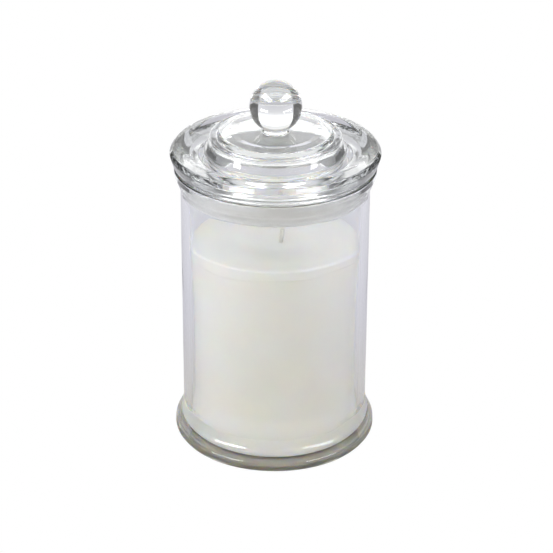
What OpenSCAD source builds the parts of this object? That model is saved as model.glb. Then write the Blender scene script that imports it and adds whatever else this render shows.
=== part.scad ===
// Apothecary jar with a candle poured into it: a pressed-glass jar with a flared foot and mouth,
// a loose glass lid with a ball knob, and a soft ribbed seal round the lid's plug collar.
// The origin is the centre of the base, and +Z is up along the jar's axis.

/* [Jar] */
// Outside diameter of the straight body
body_d = 80; // [79:0.5:86]
// Thickness of the side wall
wall = 3.5; // [3.2:0.1:3.8]
// Height from the table to the flat rim of the mouth
jar_h = 125; // [120:1:140]
// Thickness of the glass floor
floor_t = 3; // [3:0.5:8]
// How far the foot stands out beyond the body
foot_flare = 3.7; // [3:0.1:4.5]
// Height at which the foot runs out into the straight body
foot_h = 13.8; // [12.5:0.1:16]
// How far the mouth flares beyond the body
mouth_flare = 2.7; // [2.2:0.1:3.5]
// Rise of the hollow under the base
push_up = 0.8; // [0.5:0.1:1.5]

/* [Lid] */
// How far the brim's widest edge stands out beyond the body
brim_overhang = 4.4; // [4:0.1:6]
// Height of the raised centre above the brim's resting face
lid_rise = 15.2; // [14.5:0.1:17]
// Radius of the flat top
top_r = 23.5; // [22:0.1:23.6]
// Thickness of the glass over the hollow underside
crown_t = 3.8; // [3.2:0.1:4.4]
// Depth of the plug collar below the brim's resting face
collar_depth = 12; // [10:0.5:13]
// Thickness of the plug collar
collar_t = 3; // [2.5:0.1:3.2]

/* [Knob] */
// Diameter of the solid ball
knob_d = 22; // [19:0.5:24]
// Radius of the neck that joins the ball to the lid
neck_r = 5.5; // [5:0.1:8]

/* [Seal] */
// Number of fins round the seal
fins = 3; // [2:1:4]
// Clearance between the fins' tips and the jar's bore
fin_clearance = 0.3; // [0.25:0.05:0.5]
// Clearance between the seal's bore and the plug collar
bore_clearance = 0.05; // [0.03:0.01:0.08]

/* [Candle] */
// Height of the wax's highest rim above the table
fill_h = 94; // [70:0.5:94]
// Depth of the dish that the wax sank to as it set
dish_depth = 4; // [1:0.1:4.5]
// Diameter of the wick
wick_d = 2; // [1.6:0.1:2.4]
// Length of wick that stands out of the wax
wick_stub = 7; // [6:0.5:11]
// How far sideways the wick has leaned where it leaves the wax
wick_lean = 2.6; // [0:0.1:3]

/* [Hidden] */

// Sides of every round shape, and steps in every rounded corner
smooth = 96;
arc_steps = 8;
// Radii that round the outlines' corners
crisp_round = 0.3;
fine_round = 0.8;
soft_round = 1.5;
broad_round = 3;
sweep_round = 9;
// Air between the lid and the rim that it rests on
lid_gap = 0.1;

// Jar
body_r = body_d / 2;
bore_r = body_r - wall;
foot_r = body_r + foot_flare;
mouth_r = body_r + mouth_flare;
foot_inner_r = body_r - 3.5;
foot_bevel = 1.1;
foot_edge_low = 1.6;
foot_edge_high = 4.2;
foot_waist = 1;
mouth_edge = 2.6;
mouth_sweep = 9.4;
lip_bevel = 0.9;

// Lid: a flat top with a faint ring on it, a groove, a shoulder, and a drum that runs down to the brim
seat_z = jar_h + lid_gap;
top_z = seat_z + lid_rise;
ring_r = top_r - 4;
ring_h = 0.6;
groove_r = top_r + 1.2;
groove_z = top_z - 2.4;
shoulder_r = top_r + 4.1;
shoulder_z = top_z - 1.6;
drum_r = shoulder_r + 1.7;
drum_low = seat_z + 7.2;
drum_t = 3.4;
brim_r = body_r + brim_overhang;
brim_top_r = body_r - 1.5;
brim_top = seat_z + 9.3;
edge_rise = 6.1;
collar_r = bore_r - 3;
collar_bore_r = collar_r - collar_t;
collar_low = seat_z - collar_depth;

// Knob
knob_r = knob_d / 2;
knob_z = top_z + knob_r + 0.1;

// Seal, from the collar's lower edge up to the brim
seal_r = collar_r + bore_clearance;
seal_skin = 1;
seal_low = collar_low + crisp_round;
seal_high = seat_z - 0.6;
seal_h = seal_high - seal_low;
fin_r = bore_r - fin_clearance;
fin_t = 0.8;
fin_droop = 0.5;
fin_pitch = seal_h / fins;

// Candle: the wax clings to the glass low down and has shrunk back from it above
cling_gap = 0.05;
shrink_gap = 0.4;
cling_h = 20;
shrink_h = 26;
fit_gap = 0.05;
wick_r = wick_d / 2;
sticker_t = 0.5;
tab_t = 0.4;
tab_r = 10;
crimp_t = 0.35;
crimp_gap = 0.2;
crimp_h = 5;
tab_z = floor_t + sticker_t;
crimp_bore_r = wick_r + crimp_gap;
wax_mid_z = fill_h - dish_depth;
wick_foot_z = tab_z + 0.1;
wick_angle = atan2(wick_lean, wax_mid_z - wick_foot_z);
wick_length = (wax_mid_z + wick_stub - wick_foot_z) / cos(wick_angle);

// Unit vector along v
function unit(v) = v / norm(v);

// Points of the arc of the given radius that rounds the corner at a point between two others
function corner_arc(before, at, after, radius) =
    let (
        to_before = unit(before - at),
        to_after = unit(after - at),
        half_angle = acos(to_before * to_after) / 2,
        reach = radius / tan(half_angle),
        centre = at + unit(to_before + to_after) * radius / sin(half_angle),
        first = at + to_before * reach - centre,
        last = at + to_after * reach - centre,
        start = atan2(first.y, first.x),
        sweep = atan2(cross(first, last), first * last)
    )
    [for (i = [0:arc_steps])
        let (angle = start + sweep * i / arc_steps)
        centre + radius * [cos(angle), sin(angle)]];

// The outline through a closed list of [radius, height, rounding], with its corners rounded
function outline(points) =
    let (count = len(points), flat = [for (p = points) [p[0], p[1]]])
    [for (i = [0:count - 1])
        let (rounding = points[i][2])
        each rounding > 0
            ? corner_arc(flat[(i + count - 1) % count], flat[i], flat[(i + 1) % count], rounding)
            : [flat[i]]];

// A solid turned about the Z axis from a rounded outline
module turned(points) {
    rotate_extrude($fn = smooth)
        polygon(outline(points));
}

// A cylinder along the wick's leaning line, from below its foot to above its tip
module wick_line(radius, below, length) {
    translate([0, 0, wick_foot_z])
        rotate([0, wick_angle, 0])
            translate([0, 0, -below])
                cylinder(r = radius, h = length, $fn = smooth);
}

// Clear glass jar: pushed-up base, thick flared foot, straight body and flared mouth
module jar() {
    color([0.86, 0.89, 0.9, 0.35])
        turned([
            [0, push_up, 0],
            [foot_inner_r - broad_round, push_up, soft_round],
            [foot_inner_r, 0, soft_round],
            [foot_r - foot_bevel, 0, fine_round],
            [foot_r, foot_edge_low, fine_round],
            [foot_r - 0.1, foot_edge_high, soft_round],
            [body_r + foot_waist, (foot_edge_high + foot_h) / 2 + 0.6, sweep_round],
            [body_r, foot_h, fine_round],
            [body_r, jar_h - mouth_sweep, sweep_round],
            [mouth_r, jar_h - mouth_edge, soft_round],
            [mouth_r, jar_h, fine_round],
            [bore_r + lip_bevel, jar_h, crisp_round],
            [bore_r, jar_h - lip_bevel, crisp_round],
            [bore_r, floor_t, broad_round],
            [0, floor_t, 0]
        ]);
}

// Clear glass lid: flat top, grooved shoulder, drum, thick brim and a plug collar, all hollow underneath
module lid() {
    color([0.84, 0.88, 0.88, 0.35])
        turned([
            [0, top_z, 0],
            [ring_r - broad_round, top_z, soft_round],
            [ring_r, top_z + ring_h, fine_round],
            [top_r, top_z + ring_h / 2, fine_round],
            [groove_r, groove_z, fine_round],
            [shoulder_r, shoulder_z, fine_round],
            [drum_r, drum_low, fine_round],
            [brim_top_r, brim_top, 2 * broad_round],
            [brim_r - soft_round, seat_z + edge_rise + 2.1, soft_round],
            [brim_r, seat_z + edge_rise, fine_round],
            [brim_r - 1.2, seat_z + edge_rise - 4, soft_round],
            [mouth_r - fine_round, seat_z, crisp_round],
            [collar_r, seat_z, crisp_round],
            [collar_r, collar_low, crisp_round],
            [collar_bore_r, collar_low, fine_round],
            [collar_bore_r, seat_z + soft_round, soft_round],
            [drum_r - drum_t, seat_z + soft_round + fine_round, broad_round],
            [shoulder_r - drum_t, top_z - crown_t - crisp_round, broad_round],
            [0, top_z - crown_t, 0]
        ]);
}

// Solid glass ball on its neck, fused to the top of the lid
module lid_knob() {
    color([0.82, 0.85, 0.85, 0.4]) {
        translate([0, 0, knob_z])
            sphere(r = knob_r, $fn = smooth);
        translate([0, 0, top_z])
            cylinder(r = neck_r, h = knob_z - top_z, $fn = smooth);
    }
}

// Soft translucent sleeve with drooping fins that fill the gap to the jar's bore
module lid_seal() {
    color([0.93, 0.94, 0.94, 0.6])
        rotate_extrude($fn = smooth)
            polygon(concat(
                [[seal_r, seal_high], [seal_r, seal_low], [seal_r + seal_skin, seal_low]],
                [for (i = [0:fins - 1])
                    let (fin_z = seal_low + fin_pitch * (i + 0.3))
                    each [
                        [seal_r + seal_skin, fin_z],
                        [fin_r, fin_z - fin_droop],
                        [fin_r, fin_z + fin_t - fin_droop],
                        [seal_r + seal_skin, fin_z + fin_t + fin_droop]
                    ]],
                [[seal_r + seal_skin, seal_high]]
            ));
}

// Poured wax with a dished top, hollowed round the wick, the tab and the sticker
module candle_wax() {
    color([0.95, 0.94, 0.9])
        difference() {
            turned([
                [0, floor_t, 0],
                [bore_r - cling_gap, floor_t, broad_round + crisp_round],
                [bore_r - cling_gap, cling_h, broad_round],
                [bore_r - shrink_gap, shrink_h, broad_round],
                [bore_r - shrink_gap, fill_h, fine_round],
                [bore_r - broad_round, fill_h - fine_round, broad_round],
                [wick_r + broad_round, wax_mid_z, broad_round],
                [0, wax_mid_z, 0]
            ]);
            wick_line(wick_r + fit_gap, broad_round, wick_length + 2 * broad_round);
            cylinder(r = tab_r + fit_gap, h = tab_z + tab_t + fit_gap, $fn = smooth);
            cylinder(r = crimp_bore_r + crimp_t + fit_gap, h = tab_z + crimp_h + fit_gap, $fn = smooth);
        }
}

// Braided cotton wick, leaning from the tab on the floor up through the wax
module wick() {
    color([0.9, 0.89, 0.86])
        wick_line(wick_r, 0, wick_length);
}

// Tinplate tab with the crimp collar that grips the wick's foot
module wick_sustainer() {
    color([0.72, 0.73, 0.75])
        translate([0, 0, tab_z])
            difference() {
                union() {
                    cylinder(r = tab_r, h = tab_t, $fn = smooth);
                    cylinder(r = crimp_bore_r + crimp_t, h = crimp_h, $fn = smooth);
                }
                translate([0, 0, -tab_t])
                    cylinder(r = crimp_bore_r, h = crimp_h + 2 * tab_t, $fn = smooth);
            }
}

// Adhesive disc that holds the tab to the jar's floor
module wick_sticker() {
    color([0.93, 0.92, 0.88])
        translate([0, 0, floor_t])
            cylinder(r = tab_r, h = sticker_t, $fn = smooth);
}

jar();
lid();
lid_knob();
lid_seal();
candle_wax();
wick();
wick_sustainer();
wick_sticker();
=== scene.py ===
"""A clear pressed-glass apothecary jar with a candle poured into it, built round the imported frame."""
import math

import bmesh
import bpy
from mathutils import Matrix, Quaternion, Vector, noise


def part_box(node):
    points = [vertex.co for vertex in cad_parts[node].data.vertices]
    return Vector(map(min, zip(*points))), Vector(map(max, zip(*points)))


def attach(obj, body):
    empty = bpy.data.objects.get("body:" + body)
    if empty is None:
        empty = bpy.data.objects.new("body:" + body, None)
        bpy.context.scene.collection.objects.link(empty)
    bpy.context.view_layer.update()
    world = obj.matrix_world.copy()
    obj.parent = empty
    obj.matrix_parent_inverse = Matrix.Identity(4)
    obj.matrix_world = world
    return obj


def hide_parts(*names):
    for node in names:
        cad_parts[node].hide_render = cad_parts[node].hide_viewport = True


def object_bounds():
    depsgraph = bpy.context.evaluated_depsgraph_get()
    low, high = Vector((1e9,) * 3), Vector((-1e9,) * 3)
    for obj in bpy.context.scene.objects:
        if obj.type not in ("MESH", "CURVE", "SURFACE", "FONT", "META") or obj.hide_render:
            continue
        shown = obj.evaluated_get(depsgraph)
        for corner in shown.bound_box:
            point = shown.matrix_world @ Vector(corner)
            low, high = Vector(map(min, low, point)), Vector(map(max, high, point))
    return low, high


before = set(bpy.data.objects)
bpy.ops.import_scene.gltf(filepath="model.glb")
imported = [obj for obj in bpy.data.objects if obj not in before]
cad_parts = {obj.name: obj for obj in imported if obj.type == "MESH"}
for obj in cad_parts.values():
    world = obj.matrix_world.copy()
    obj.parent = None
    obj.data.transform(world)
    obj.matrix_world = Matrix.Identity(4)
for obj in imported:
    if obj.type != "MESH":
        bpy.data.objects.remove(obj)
cad_low, cad_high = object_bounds()

MM = 0.001

# Camera: a long lens from a little above
LENS_MM = 139.9
SENSOR_MM = 36.0
CAMERA_ELEVATION = math.radians(27.21)
CAMERA_ROLL = math.radians(0.274)
CAMERA_DISTANCE = 0.9264
CAMERA_SIDESTEP = 0.65 * MM
TARGET_SHARE = 0.444

# Studio, in metres. Tones are linear light, where 1 is white
FLOOR_RADIUS = 6.0
FLOOR_DROP = 0.2 * MM
TABLE_HALF_WIDTH = 1.2
TABLE_BACK = 0.25
CARD_SPREAD = 0.6
SWEEP_FRONT = -1.2
SWEEP_BACK = 1.25
SWEEP_TOP = 1.0
SWEEP_CURVE = 0.3
CURVE_STEPS = 12

# The sweep only glows, so its tones below are painted light and shade on the paper
# The sweep's tones from its front to its back, as (share of its depth, tone): in the strip straight
# before and behind the jar, and beside that strip, with the distances from the middle that they blend over
SWEEP_MIDDLE = [(0.0, (0.32, 0.28, 0.17)), (0.46, (0.32, 0.28, 0.17)), (0.50, (0.60, 0.58, 0.58)),
                (0.53, (0.60, 0.59, 0.65)), (0.75, (0.85, 0.85, 0.88)), (1.0, (1.5, 1.5, 1.5))]
SWEEP_SIDES = [(0.0, (0.74, 0.74, 0.83)), (0.46, (0.74, 0.74, 0.83)), (0.53, (0.72, 0.71, 0.78)),
               (0.75, (0.85, 0.85, 0.88)), (1.0, (1.5, 1.5, 1.5))]
SWEEP_STRIP = (0.07, 0.16)
# How the card's painted light dims with its height, as (share of its height, strength)
CARD_HEIGHT = [(0.38, (1.0, 1.0, 1.0)), (0.52, (0.65, 0.65, 0.65)), (0.72, (0.7, 0.7, 0.7)),
               (0.85, (0.4, 0.4, 0.4))]
# The painted contact shadow under the jar: its soft edge's radii, and its strength
SHADE_EDGE = (0.038, 0.052)
SHADE_TONE = 0.2

# The room's tones from behind the camera to behind the jar, and its ceiling
ROOM_DEPTH = [(0.0, (0.60, 0.57, 0.50)), (0.25, (0.80, 0.77, 0.74)), (0.42, (1.05, 1.05, 1.09)),
              (0.52, (0.4, 0.4, 0.42)), (0.62, (0.12, 0.12, 0.12)), (1.0, (0.12, 0.12, 0.12))]
CEILING_EDGE = (0.5, 0.8)
CEILING_TONE = (0.85, 0.85, 0.88)

# Lights: degrees round from the camera and up, (width, height), and watts at the left and the right
LIGHT_DISTANCE = 0.9
SOFTBOX_TURN = 62
SOFTBOX_RISE = 50
SOFTBOX_SIZE = (0.84, 0.3)
SOFTBOX_POWER = (7.3, 7.0)
STRIP_TURN = 51
STRIP_RISE = 0.2
STRIP_SIZE = (0.62, 0.155)
STRIP_POWER = (5.2, 3.3)

# Mesh detail. Points closer than WELD metres are one, and are compared to DIGITS decimals
GLASS_SEGMENTS = 256
SOFT_SEGMENTS = 192
DISC_SEGMENTS = 96
WELD = 1e-6
DIGITS = 7


# ---------------------------------------------------------------- objects


def add_object(name, data):
    """An object in the scene for a camera, a light or a mesh."""
    made = bpy.data.objects.new(name, data)
    bpy.context.scene.collection.objects.link(made)
    return made


def add_mesh(name, build):
    """An object made from a finished bmesh, which is freed."""
    mesh = bpy.data.meshes.new(name)
    build.to_mesh(mesh)
    build.free()
    return add_object(name, mesh)


# ---------------------------------------------------------------- camera, stage and light


def make_camera():
    """The camera, aimed at the jar's axis from the front."""
    data = bpy.data.cameras.new("camera")
    data.lens = LENS_MM
    data.sensor_width = SENSOR_MM
    camera = add_object("camera", data)
    back = Vector((0, -math.cos(CAMERA_ELEVATION), math.sin(CAMERA_ELEVATION)))
    target = Vector((CAMERA_SIDESTEP, 0, cad_high.z * TARGET_SHARE))
    camera.location = target + back * CAMERA_DISTANCE
    camera.rotation_mode = "QUATERNION"
    camera.rotation_quaternion = (-back).to_track_quat("-Z", "Y") @ Quaternion((0, 0, 1), CAMERA_ROLL)
    bpy.context.scene.camera = camera


def glow_material(name):
    """A surface that only shines: (material, nodes, links, its emission node)."""
    material = bpy.data.materials.new(name)
    material.use_nodes = True
    nodes, links = material.node_tree.nodes, material.node_tree.links
    nodes.remove(nodes["Principled BSDF"])
    glow = nodes.new("ShaderNodeEmission")
    glow.inputs["Strength"].default_value = 1.0
    links.new(glow.outputs["Emission"], nodes["Material Output"].inputs["Surface"])
    return material, nodes, links, glow


def make_floor():
    """The floor is white where it is seen directly, as a light table is, and does nothing else."""
    build = bmesh.new()
    bmesh.ops.create_circle(build, cap_ends=True, radius=FLOOR_RADIUS, segments=DISC_SEGMENTS)
    floor = add_mesh("floor", build)
    floor.location.z = cad_low.z - FLOOR_DROP
    floor.data.materials.append(glow_material("floor_white")[0])
    floor.visible_diffuse = False
    floor.visible_glossy = False
    floor.visible_transmission = False
    floor.visible_volume_scatter = False
    floor.visible_shadow = False


def make_sweep():
    """The paper that the glass and the wax see, but the camera doesn't: a wide grey table, and behind it
    a narrower card that curves up. It only glows, with its light and shade painted on."""
    low = cad_low.z - FLOOR_DROP
    line = [(SWEEP_FRONT, low, TABLE_HALF_WIDTH), (TABLE_BACK, low, TABLE_HALF_WIDTH),
            (TABLE_BACK, low, TABLE_BACK * CARD_SPREAD)]
    for k in range(CURVE_STEPS + 1):
        turn = k / CURVE_STEPS * math.pi / 2
        y = SWEEP_BACK - SWEEP_CURVE * (1 - math.sin(turn))
        line.append((y, low + SWEEP_CURVE * (1 - math.cos(turn)), y * CARD_SPREAD))
    line.append((SWEEP_BACK, SWEEP_TOP, SWEEP_BACK * CARD_SPREAD))
    build = bmesh.new()
    rows = [[build.verts.new((side * half, y, z)) for side in (-1, 1)] for y, z, half in line]
    for (a, b), (c, d) in zip(rows, rows[1:]):
        build.faces.new((a, b, d, c))
    sweep = add_mesh("paper_sweep", build)
    sweep.visible_camera = False
    sweep.data.materials.append(sweep_material())


def sweep_material():
    """Grey paper that only glows, with painted light and shade: dim before the jar, brighter beside and
    behind it, a painted contact shadow under it, and dimmer up the card.
    """
    material, nodes, links, glow = glow_material("paper_sweep")
    place = nodes.new("ShaderNodeTexCoord")
    split = nodes.new("ShaderNodeSeparateXYZ")
    links.new(place.outputs["Object"], split.inputs[0])
    along = add_range(nodes, links, split.outputs["Y"], 0, 1, SWEEP_FRONT, SWEEP_BACK)
    aside = nodes.new("ShaderNodeMath")
    aside.operation = "ABSOLUTE"
    links.new(split.outputs["X"], aside.inputs[0])
    blend = add_range(nodes, links, aside.outputs[0], 0, 1, *SWEEP_STRIP)
    middle = add_ramp(nodes, links, along, SWEEP_MIDDLE)
    sides = add_ramp(nodes, links, along, SWEEP_SIDES)
    links.new(add_mix(nodes, links, blend, middle, sides), glow.inputs["Color"])
    # A painted contact shadow: the glow is dimmed round the jar's foot, since a glow takes no shadow
    around = nodes.new("ShaderNodeVectorMath")
    around.operation = "LENGTH"
    links.new(place.outputs["Object"], around.inputs[0])
    shade = add_range(nodes, links, around.outputs["Value"], SHADE_TONE, 1, *SHADE_EDGE)
    dimming = nodes.new("ShaderNodeMath")
    dimming.operation = "MULTIPLY"
    links.new(shade, dimming.inputs[0])
    height = add_range(nodes, links, split.outputs["Z"], 0, 1, 0, SWEEP_TOP)
    links.new(add_ramp(nodes, links, height, CARD_HEIGHT), dimming.inputs[1])
    links.new(dimming.outputs[0], glow.inputs["Strength"])
    return material


def make_world():
    """The room: warm behind the camera, brightest beside it, dark behind the jar, with a pale ceiling."""
    world = bpy.data.worlds.new("studio")
    bpy.context.scene.world = world
    world.use_nodes = True
    nodes, links = world.node_tree.nodes, world.node_tree.links
    direction = nodes.new("ShaderNodeTexCoord")
    split = nodes.new("ShaderNodeSeparateXYZ")
    links.new(direction.outputs["Generated"], split.inputs[0])
    depth = add_range(nodes, links, split.outputs["Y"], 0, 1, -1, 1)
    rise = add_range(nodes, links, split.outputs["Z"], 0, 1, *CEILING_EDGE)
    walls = add_ramp(nodes, links, depth, ROOM_DEPTH)
    links.new(add_mix(nodes, links, rise, walls, CEILING_TONE), nodes["Background"].inputs["Color"])


def add_softbox(name, azimuth, elevation, size, power):
    """An area light that faces the jar. Azimuth 0 is the camera's side and 90 the right-hand side."""
    data = bpy.data.lights.new(name, "AREA")
    data.shape = "RECTANGLE"
    data.size, data.size_y = size
    data.energy = power
    light = add_object(name, data)
    turn, rise = math.radians(azimuth), math.radians(elevation)
    towards = Vector((math.sin(turn) * math.cos(rise), -math.cos(turn) * math.cos(rise), math.sin(rise)))
    aim = Vector((0, 0, cad_high.z / 2))
    light.location = aim + towards * LIGHT_DISTANCE
    light.rotation_euler = (-towards).to_track_quat("-Z", "Y").to_euler()
    light.visible_camera = False
    return light


def make_lights():
    """At each side of the camera, a long softbox held high, and a thin strip held low that only shows as
    a reflection."""
    for side, way, power in zip(("left", "right"), (-1, 1), SOFTBOX_POWER):
        add_softbox("softbox_" + side, way * SOFTBOX_TURN, SOFTBOX_RISE, SOFTBOX_SIZE, power)
    for side, way, power in zip(("left", "right"), (-1, 1), STRIP_POWER):
        strip = add_softbox("strip_" + side, way * STRIP_TURN, STRIP_RISE, STRIP_SIZE, power)
        strip.visible_diffuse = False
        strip.visible_transmission = False


def set_look():
    """Plain colours, and enough bounces for light to pass through the lid and both of the jar's walls."""
    scene = bpy.context.scene
    scene.view_settings.view_transform = "Standard"
    scene.cycles.max_bounces = 24
    scene.cycles.transmission_bounces = 24
    scene.cycles.glossy_bounces = 12
    scene.cycles.use_denoising = True


# ---------------------------------------------------------------- node helpers


def new_material(name):
    """An empty node material: (material, nodes, links, its Principled shader)."""
    material = bpy.data.materials.new(name)
    material.use_nodes = True
    tree = material.node_tree
    return material, tree.nodes, tree.links, tree.nodes["Principled BSDF"]


def add_noise(nodes, links, scale, detail=2.0, stretch=(1, 1, 1)):
    """A noise pattern fixed to the piece, in cycles per metre. Returns its value output."""
    place = nodes.new("ShaderNodeTexCoord")
    mapping = nodes.new("ShaderNodeMapping")
    mapping.inputs["Scale"].default_value = stretch
    links.new(place.outputs["Object"], mapping.inputs["Vector"])
    pattern = nodes.new("ShaderNodeTexNoise")
    pattern.inputs["Scale"].default_value = scale
    pattern.inputs["Detail"].default_value = detail
    links.new(mapping.outputs["Vector"], pattern.inputs["Vector"])
    return pattern.outputs["Fac"]


def add_ramp(nodes, links, value, stops):
    """A colour ramp over a value. Stops are (place, colour). Returns its colour output."""
    ramp = nodes.new("ShaderNodeValToRGB")
    elements = ramp.color_ramp.elements
    while len(elements) < len(stops):
        elements.new(0.5)
    for element, (place, colour) in zip(elements, stops):
        element.position = place
        element.color = (*colour, 1)
    links.new(value, ramp.inputs["Fac"])
    return ramp.outputs["Color"]


def add_range(nodes, links, value, low, high, from_low=0, from_high=1):
    """A value that runs between two limits, stretched to run from low to high."""
    stretch = nodes.new("ShaderNodeMapRange")
    stretch.inputs["From Min"].default_value = from_low
    stretch.inputs["From Max"].default_value = from_high
    stretch.inputs["To Min"].default_value = low
    stretch.inputs["To Max"].default_value = high
    links.new(value, stretch.inputs["Value"])
    return stretch.outputs["Result"]


def add_mix(nodes, links, share, first, second):
    """A blend from one tone output to a second, which may be a plain tone. Returns its output."""
    blend = nodes.new("ShaderNodeMix")
    blend.data_type = "VECTOR"
    # The node's fifth and sixth inputs and its second output are the ones for vectors
    socket_a, socket_b = blend.inputs[4], blend.inputs[5]
    links.new(share, blend.inputs["Factor"])
    links.new(first, socket_a)
    if isinstance(second, tuple):
        socket_b.default_value = second
    else:
        links.new(second, socket_b)
    return blend.outputs[1]


def add_bump(nodes, links, shader, value, depth, strength=1.0, before=None):
    """Bumps the shader's surface by a value, to a depth in metres. Returns the normal output."""
    bump = nodes.new("ShaderNodeBump")
    bump.inputs["Strength"].default_value = strength
    bump.inputs["Distance"].default_value = depth
    links.new(value, bump.inputs["Height"])
    if before is not None:
        links.new(before, bump.inputs["Normal"])
    links.new(bump.outputs["Normal"], shader.inputs["Normal"])
    return bump.outputs["Normal"]


# ---------------------------------------------------------------- materials


def glass_material(name, tint, absorb, density, ripple):
    """Clear soda glass: faint ripples from the mould, a little surface haze and a tint in its depth."""
    material, nodes, links, shader = new_material(name)
    smear = add_noise(nodes, links, scale=60.0, detail=3.0)
    links.new(add_ramp(nodes, links, smear, [(0.2, tint), (0.8, (1, 1, 1))]), shader.inputs["Base Color"])
    links.new(add_range(nodes, links, smear, 0.0, 0.02), shader.inputs["Roughness"])
    shader.inputs["Transmission Weight"].default_value = 1.0
    shader.inputs["IOR"].default_value = 1.5
    wave = add_noise(nodes, links, scale=110.0, detail=1.0, stretch=(1, 1, 0.45))
    add_bump(nodes, links, shader, wave, depth=ripple)
    depth_tint = nodes.new("ShaderNodeVolumeAbsorption")
    depth_tint.inputs["Color"].default_value = (*absorb, 1)
    depth_tint.inputs["Density"].default_value = density
    links.new(depth_tint.outputs["Volume"], nodes["Material Output"].inputs["Volume"])
    return material


def seal_material():
    """Soft translucent plastic with a satin skin."""
    material, nodes, links, shader = new_material("seal_plastic")
    cloud = add_noise(nodes, links, scale=240.0, detail=3.0)
    tone = add_ramp(nodes, links, cloud, [(0.3, (0.93, 0.93, 0.94)), (0.7, (0.97, 0.97, 0.975))])
    links.new(tone, shader.inputs["Base Color"])
    links.new(add_range(nodes, links, cloud, 0.4, 0.55), shader.inputs["Roughness"])
    shader.inputs["Transmission Weight"].default_value = 0.12
    shader.inputs["IOR"].default_value = 1.42
    add_bump(nodes, links, shader, cloud, depth=0.03 * MM)
    return material


def wax_material():
    """Translucent paraffin: mottled by cooling, with a fine frosted skin."""
    material, nodes, links, shader = new_material("candle_wax")
    mottle = add_noise(nodes, links, scale=55.0, detail=4.0)
    stops = [(0.25, (0.935, 0.9, 0.87)), (0.6, (0.955, 0.925, 0.905)), (0.85, (0.965, 0.94, 0.93))]
    links.new(add_ramp(nodes, links, mottle, stops), shader.inputs["Base Color"])
    frost = add_noise(nodes, links, scale=1400.0, detail=4.0)
    links.new(add_range(nodes, links, frost, 0.38, 0.62), shader.inputs["Roughness"])
    shader.inputs["Subsurface Weight"].default_value = 1.0
    shader.inputs["Subsurface Radius"].default_value = (1.0, 0.85, 0.6)
    shader.inputs["Subsurface Scale"].default_value = 7 * MM
    shader.inputs["IOR"].default_value = 1.43
    skin = add_bump(nodes, links, shader, mottle, depth=0.4 * MM, strength=0.5)
    add_bump(nodes, links, shader, frost, depth=0.05 * MM, strength=0.6, before=skin)
    return material


def wick_material():
    """Waxed cotton: off-white yarn of uneven tone, painted darker where its bump dips, as painted shade in
    the hollows.
    """
    material, nodes, links, shader = new_material("wick_cotton")
    fibre = add_noise(nodes, links, scale=2600.0, detail=4.0, stretch=(1, 1, 0.15))
    # The yarn's tone follows the bump, so its darker parts are partly painted shade in the hollows
    tone = add_ramp(nodes, links, fibre, [(0.3, (0.66, 0.65, 0.62)), (0.75, (0.86, 0.85, 0.82))])
    links.new(tone, shader.inputs["Base Color"])
    links.new(add_range(nodes, links, fibre, 0.5, 0.8), shader.inputs["Roughness"])
    shader.inputs["Sheen Weight"].default_value = 0.3
    add_bump(nodes, links, shader, fibre, depth=0.06 * MM)
    return material


def tinplate_material():
    """Bright tinplate with fine rolling marks."""
    material, nodes, links, shader = new_material("tinplate")
    grain = add_noise(nodes, links, scale=500.0, detail=3.0, stretch=(1, 14, 1))
    tone = add_ramp(nodes, links, grain, [(0.3, (0.56, 0.57, 0.59)), (0.7, (0.72, 0.73, 0.75))])
    links.new(tone, shader.inputs["Base Color"])
    links.new(add_range(nodes, links, grain, 0.2, 0.38), shader.inputs["Roughness"])
    shader.inputs["Metallic"].default_value = 1.0
    add_bump(nodes, links, shader, grain, depth=0.01 * MM)
    return material


def sticker_material():
    """Foam sticker: off-white and finely pitted."""
    material, nodes, links, shader = new_material("sticker_foam")
    cells = add_noise(nodes, links, scale=3000.0, detail=2.0)
    tone = add_ramp(nodes, links, cells, [(0.3, (0.72, 0.71, 0.66)), (0.7, (0.86, 0.85, 0.81))])
    links.new(tone, shader.inputs["Base Color"])
    links.new(add_range(nodes, links, cells, 0.7, 0.9), shader.inputs["Roughness"])
    add_bump(nodes, links, shader, cells, depth=0.05 * MM)
    return material


# ---------------------------------------------------------------- outlines


def seam_outline(node):
    """The outline of a turned CAD node on the +X side of its XZ plane, as (radius, height) points in
    order. A node that reaches its axis gives an open outline, from its lowest point there to its highest."""
    cut = bmesh.new()
    cut.from_mesh(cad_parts[node].data)
    bmesh.ops.remove_doubles(cut, verts=cut.verts, dist=WELD)
    whole = cut.verts[:] + cut.edges[:] + cut.faces[:]
    bmesh.ops.bisect_plane(cut, geom=whole, plane_co=(0, 0, 0), plane_no=(1, 0, 0), dist=WELD,
                           clear_inner=True)
    half = cut.verts[:] + cut.edges[:] + cut.faces[:]
    bmesh.ops.bisect_plane(cut, geom=half, plane_co=(0, 0, 0), plane_no=(0, 1, 0), dist=WELD)
    beside = {}
    for edge in cut.edges:
        if all(abs(v.co.y) < 2 * WELD for v in edge.verts):
            a, b = ((round(v.co.x, DIGITS), round(v.co.z, DIGITS)) for v in edge.verts)
            if a != b and max(a[0], b[0]) > WELD:
                beside.setdefault(a, set()).add(b)
                beside.setdefault(b, set()).add(a)
    cut.free()
    start = min(beside, key=lambda p: (p[0] > 2 * WELD, p[1]))
    path, previous = [start], None
    while True:
        onward = [p for p in sorted(beside[path[-1]]) if p != previous and p not in path[1:]]
        if not onward or onward[0] == start:
            break
        previous = path[-1]
        path.append(onward[0])
    return drop_straight([Vector(p) for p in path])


def drop_straight(points, straight=1e-3):
    """The points without those that lie on the straight line between their neighbours."""
    kept = [points[0]]
    for at, after in zip(points[1:], points[2:]):
        if abs((at - kept[-1]).angle_signed(after - at, 0)) > straight:
            kept.append(at)
    return kept + [points[-1]]


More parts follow.
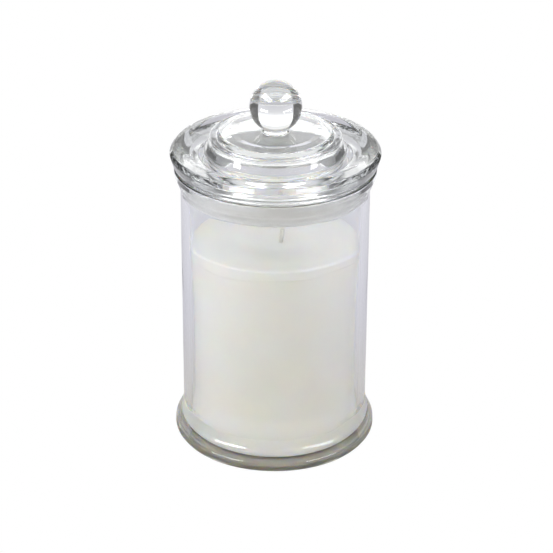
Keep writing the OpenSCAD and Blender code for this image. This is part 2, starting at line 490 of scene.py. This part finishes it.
def round_corners(points, steps=8):
    """An open outline through (radius, height, rounding) points, its inner corners rounded by arcs."""
    flat = [Vector(p[:2]) for p in points]
    made = [flat[0]]
    for i in range(1, len(points) - 1):
        at, rounding = flat[i], points[i][2]
        back, onward = (flat[i - 1] - at).normalized(), (flat[i + 1] - at).normalized()
        half = back.angle(onward) / 2
        centre = at + (back + onward).normalized() * rounding / math.sin(half)
        first = at + back * rounding / math.tan(half) - centre
        sweep = -first.angle_signed(at + onward * rounding / math.tan(half) - centre)
        for k in range(steps + 1):
            turn = sweep * k / steps
            made.append(centre + Vector((
                first.x * math.cos(turn) - first.y * math.sin(turn),
                first.x * math.sin(turn) + first.y * math.cos(turn))))
    return made + [flat[-1]]


def support(points, end=0.25 * MM, longest=2.0 * MM):
    """The outline with extra points on its long straight runs, close together near the ends, so that
    the smooth shading of a rounded corner doesn't spread along the flat beside it."""
    made = [points[0]]
    for a, b in zip(points, points[1:]):
        length = (b - a).length
        if length > 3 * end:
            inner = max(1, math.ceil((length - 2 * end) / longest))
            for k in range(inner + 1):
                made.append(a.lerp(b, (end + (length - 2 * end) * k / inner) / length))
        made.append(b)
    return made


def finer(points):
    """The outline with a point added on the smooth curve through each pair of neighbours."""
    made = [points[0]]
    for i in range(len(points) - 1):
        a, b = points[i], points[i + 1]
        length = (b - a).length
        before = points[i - 1] if i > 0 else a
        after = points[i + 2] if i + 2 < len(points) else b
        lean_in = (a - before).normalized() * min(length, (a - before).length)
        lean_out = (b - after).normalized() * min(length, (b - after).length)
        made.append((a + b) / 2 + (lean_in + lean_out) / 16)
        made.append(b)
    return made


# ---------------------------------------------------------------- meshes


def as_drawn(radius, height, angle):
    """A shape for turned_piece: the outline as it is."""
    return radius, height


def mould_ripple(amount, spread, offset):
    """A shape for turned_piece: the small unevenness that a mould leaves in thick glass."""
    def shape(radius, height, angle):
        if radius < WELD:
            return radius, height
        place = Vector((radius * math.cos(angle), radius * math.sin(angle), height))
        sway = noise.noise(place / spread + Vector((offset, 0, 0)))
        return radius + amount * sway, height
    return shape


def turned_piece(name, points, segments, shape=as_drawn, closed=False):
    """A smooth mesh turned about the Z axis. shape(*point, angle) gives a point's radius and height."""
    build = bmesh.new()
    rows = []
    for point in points:
        radius, height = shape(*point, 0.0)
        if radius < WELD:
            rows.append([build.verts.new((0, 0, height))] * segments)
            continue
        row = []
        for k in range(segments):
            angle = 2 * math.pi * k / segments
            r, z = shape(*point, angle)
            row.append(build.verts.new((r * math.cos(angle), r * math.sin(angle), z)))
        rows.append(row)
    pairs = list(zip(rows, rows[1:]))
    if closed:
        pairs.append((rows[-1], rows[0]))
    for low, high in pairs:
        for k in range(segments):
            n = (k + 1) % segments
            corners = dict.fromkeys((low[k], low[n], high[n], high[k]))
            build.faces.new(list(corners))
    bmesh.ops.recalc_face_normals(build, faces=build.faces[:])
    for face in build.faces:
        face.smooth = True
    return add_mesh(name, build)


def finish_piece(piece, body, slot, material, *nodes):
    """Gives a piece its material, and says which body it rides on and what it replaces; its slot is not
    used.
    """
    piece.data.materials.append(material)
    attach(piece, body)
    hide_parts(*nodes)


def dress_node(node, material):
    """Gives a CAD node that stays its finished material."""
    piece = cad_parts[node]
    piece.data.materials.clear()
    piece.data.materials.append(material)


def smooth_step(low, high, value):
    """From 0 at low to 1 at high, level at both ends."""
    t = min(1.0, max(0.0, (value - low) / (high - low)))
    return t * t * (3 - 2 * t)


# ---------------------------------------------------------------- jar, lid and seal


def make_jar():
    """The jar, from its CAD outline."""
    outline = finer(support(seam_outline("jar")))
    ripple = mould_ripple(amount=0.04 * MM, spread=18 * MM, offset=3.1)
    piece = turned_piece("jar_glass", outline, GLASS_SEGMENTS, ripple)
    glass = glass_material("jar_glass", tint=(0.975, 0.985, 0.98), absorb=(0.62, 0.72, 0.68),
                           density=8.0, ripple=0.03 * MM)
    finish_piece(piece, "jar_body", "jar_glass", glass, "jar")


# The neck's radius as a share of the ball's, and its fillet on the lid; the one on the ball is half that
NECK_SHARE = 0.5
NECK_FILLET = 0.5 * MM
# The ball's first ring, in radians above where the neck meets it, and its number of steps
BALL_START = 0.08
BALL_STEPS = 56


def make_lid():
    """The lid and its ball knob as one piece of glass, joined by a filleted neck."""
    knob_low, knob_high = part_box("lid_knob")
    ball_r = (knob_high.x - knob_low.x) / 2
    ball_z = knob_high.z - ball_r
    plateau_z = knob_low.z
    neck_r = ball_r * NECK_SHARE
    neck_foot = neck_r + 2 * NECK_FILLET
    meet = math.sqrt(ball_r ** 2 - neck_r ** 2)
    outline = seam_outline("lid")
    while outline[-1].x < neck_foot:
        outline.pop()
    outline.append(Vector((neck_foot, plateau_z)))
    tangent_z = ball_z - meet + neck_r * (ball_r - neck_r) / meet
    neck = round_corners([
        (neck_foot, plateau_z, 0),
        (neck_r, plateau_z, NECK_FILLET),
        (neck_r, ball_z - meet, NECK_FILLET / 2),
        (ball_r, tangent_z, 0)])
    start = BALL_START - math.asin(meet / ball_r)
    angles = [start + (math.pi / 2 - start) * k / BALL_STEPS for k in range(BALL_STEPS + 1)]
    ball = [Vector((ball_r * math.cos(a), ball_z + ball_r * math.sin(a))) for a in angles]
    ball[-1].x = 0
    points = finer(support(outline)) + neck[1:-1] + ball
    ripple = mould_ripple(amount=0.03 * MM, spread=18 * MM, offset=8.7)
    piece = turned_piece("lid_glass", points, GLASS_SEGMENTS, ripple)
    glass = glass_material("lid_glass", tint=(0.97, 0.98, 0.975), absorb=(0.62, 0.66, 0.66),
                           density=10.0, ripple=0.02 * MM)
    finish_piece(piece, "lid_body", "lid_glass", glass, "lid", "lid_knob")


SEAL_ROUND = 0.22 * MM


def make_seal():
    """The ribbed seal, from its CAD outline with its corners softened."""
    loop = [(*p, SEAL_ROUND) for p in seam_outline("lid_seal")]
    outline = round_corners([loop[-1], *loop, loop[0]], steps=4)[1:-1]
    piece = turned_piece("seal_ring", outline, SOFT_SEGMENTS, closed=True)
    finish_piece(piece, "seal_ring", "seal", seal_material(), "lid_seal")


# ---------------------------------------------------------------- candle

# How far the wax overlaps the glass that it holds to, so that no air shows between them
CLING = 0.12 * MM
# Its side: the height up to which it holds to the glass and how much that varies, the height over which
# it lets go, where it starts to widen to the rim, and its gap from the glass at the waist and the rim
HOLD_HEIGHT = 11 * MM
HOLD_SWAY = 2 * MM
LET_GO = 12 * MM
WIDEN_FROM = 52 * MM
WAIST_GAP = 1.7 * MM
RIM_GAP = 0.6 * MM
# The lip that still holds to the glass round the rim
LIP_DEPTH = 5.0 * MM
LIP_SWAY = 2.2 * MM
LIP_STEP = 0.4 * MM
# Its top: how far the rim sinks and tilts down to the back, the dish and the radii that its edge runs
# over, its depth at the back as a share, the mound round the wick, and the unevenness
RIM_SINK = 0.2 * MM
RIM_TILT = 3.2 * MM
DISH_DEPTH = 3.6 * MM
DISH_EDGE = (4 * MM, 27 * MM)
DISH_BACK = 0.5
MOUND_RISE = 1.1 * MM
MOUND_R = 4.5 * MM
ROUGH_DEPTH = 0.35 * MM
ROUGH_SPREAD = 11 * MM
ROUGH_EDGE = (2 * MM, 12 * MM)
# The roundings of its top and bottom edges, the rings on each part, the share of the side's rings that
# the top edge takes, and how much closer together they are near the top
TOP_ROUND = 0.9 * MM
FOOT_ROUND = 2.2 * MM
TOP_RINGS = 46
SIDE_RINGS = 140
FOOT_RINGS = 8
EDGE_SHARE = 0.08
CROWDING = 1.8


def make_wax():
    """The candle: it holds to the glass at the bottom, has shrunk back above, and its dished top is
    uneven. Its underside has a well that leaves room for the tab and the sticker."""
    low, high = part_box("candle_wax")
    bore_r = high.x + CLING
    floor_z, rim_z = low.z - CLING, high.z
    tab_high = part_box("wick_sustainer")[1]
    wick_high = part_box("wick")[1]
    wick_at = Vector((wick_high.x - wick_high.y, 0, 0))

    def side_radius(z, angle):
        """The wax's radius at a height: full low down, drawn in at the waist, nearly full at the rim."""
        wander = noise.noise(Vector((3 * math.cos(angle), 3 * math.sin(angle), 5.2)))
        edge = HOLD_HEIGHT + HOLD_SWAY * wander
        loose = smooth_step(edge, edge + LET_GO, z)
        gap = WAIST_GAP + (RIM_GAP - WAIST_GAP) * smooth_step(WIDEN_FROM, rim_z, z)
        sway = noise.noise(Vector((1.7 * math.cos(angle), 1.7 * math.sin(angle), 1.3)))
        lip = rim_z - LIP_DEPTH + LIP_SWAY * sway
        return bore_r - gap * loose + LIP_STEP * smooth_step(lip - LIP_STEP, lip, z)

    def top_height(r, angle):
        """The height of the wax's top: a tilted, uneven rim round a dished middle."""
        front = -math.sin(angle)
        rim = rim_z - RIM_TILT / 2 * (1 - front * r / bore_r)
        place = Vector((r * math.cos(angle), r * math.sin(angle), 0))
        rough = ROUGH_DEPTH * noise.noise(place / ROUGH_SPREAD) * smooth_step(*ROUGH_EDGE, r)
        dish = DISH_DEPTH * (1 - smooth_step(*DISH_EDGE, r))
        deep = (1 + DISH_BACK) / 2 + (1 - DISH_BACK) / 2 * front
        mound = MOUND_RISE * (1 - smooth_step(0, MOUND_R, (place - wick_at).length))
        return min(rim_z, rim - dish * deep + rough + mound - RIM_SINK)

    def locate(part, t, angle):
        """The radius and height of a ring's point. t runs from 0 to 1 over the part, or is a radius."""
        rim_r = side_radius(rim_z, angle)
        rim_here = top_height(rim_r, angle)
        if part == "top":
            r = (rim_r - TOP_ROUND) * math.sqrt(t)
            return r, top_height(r, angle)
        if part == "side" and t < EDGE_SHARE:
            turn = t / EDGE_SHARE * math.pi / 2
            return (rim_r - TOP_ROUND * (1 - math.sin(turn)),
                    rim_here - TOP_ROUND * (1 - math.cos(turn)))
        if part == "side":
            share = ((t - EDGE_SHARE) / (1 - EDGE_SHARE)) ** CROWDING
            edge_z = rim_here - TOP_ROUND
            z = edge_z + (floor_z + FOOT_ROUND - edge_z) * share
            return side_radius(z, angle), z
        if part == "foot":
            turn = t * math.pi / 2
            return bore_r - FOOT_ROUND * (1 - math.cos(turn)), floor_z + FOOT_ROUND * (1 - math.sin(turn))
        return t, floor_z if part == "under" else tab_high.z + CLING

    tab_r = tab_high.x + CLING
    rings = [("top", k / TOP_RINGS) for k in range(TOP_RINGS + 1)]
    rings += [("side", k / SIDE_RINGS) for k in range(1, SIDE_RINGS + 1)]
    rings += [("foot", k / FOOT_RINGS) for k in range(1, FOOT_RINGS + 1)]
    rings += [("under", tab_r), ("well", tab_r), ("well", 0.0)]
    piece = turned_piece("wax_candle", rings, SOFT_SEGMENTS, locate)
    finish_piece(piece, "jar_body", "wax", wax_material(), "candle_wax")


# The braid: strands each way, their length per turn, their radius as a share of the wick's, their sides
# and rings, and how far they weave in and out as shares of the room outside a strand
STRANDS = 4
BRAID_PITCH = 7.0 * MM
STRAND_SHARE = 0.46
STRAND_SIDES = 8
RING_STEP = 0.35 * MM
WEAVE_MIDDLE = 0.92
WEAVE_DEPTH = 0.072
WICK_BEND = 0.3 * MM


def make_wick():
    """A round braid of cotton strands along the CAD wick's leaning line, bent a little further over at
    the tip."""
    low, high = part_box("wick")
    radius = (high.y - low.y) / 2
    foot = Vector((low.x + radius, 0, low.z))
    tip = Vector((high.x - radius, 0, high.z))
    length = (tip - foot).length
    wax_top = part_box("candle_wax")[1].z - DISH_DEPTH
    strand_r = radius * STRAND_SHARE
    steps = int(length / RING_STEP)
    corners = [2 * math.pi * s / STRAND_SIDES for s in range(STRAND_SIDES)]
    section = [strand_r * Vector((math.cos(a), math.sin(a), 0)) for a in corners]
    build = bmesh.new()
    for strand in range(2 * STRANDS):
        way = 1 if strand < STRANDS else -1
        phase = 2 * math.pi * (strand % STRANDS) / STRANDS
        rings = []
        for k in range(steps + 1):
            along = k / steps
            centre = foot.lerp(tip, along)
            centre.x += WICK_BEND * smooth_step(wax_top, tip.z, centre.z)
            turn = way * 2 * math.pi * along * length / BRAID_PITCH + phase
            weave = WEAVE_MIDDLE + WEAVE_DEPTH * way * math.cos(2 * STRANDS * turn)
            offset = Vector((math.cos(turn), math.sin(turn), 0)) * (radius - strand_r) * weave
            rings.append([build.verts.new(centre + offset + corner) for corner in section])
        for lower, upper in zip(rings, rings[1:]):
            for s in range(STRAND_SIDES):
                n = (s + 1) % STRAND_SIDES
                build.faces.new((lower[s], lower[n], upper[n], upper[s]))
        build.faces.new(list(reversed(rings[0])))
        build.faces.new(rings[-1])
    for face in build.faces:
        face.smooth = len(face.verts) == 4
    piece = add_mesh("wick_braid", build)
    finish_piece(piece, "jar_body", "wick_cotton", wick_material(), "wick")


# ---------------------------------------------------------------- the scene

make_camera()
make_floor()
make_sweep()
make_world()
make_lights()
set_look()

make_jar()
make_lid()
make_seal()
make_wax()
make_wick()
dress_node("wick_sustainer", tinplate_material())
dress_node("wick_sticker", sticker_material())
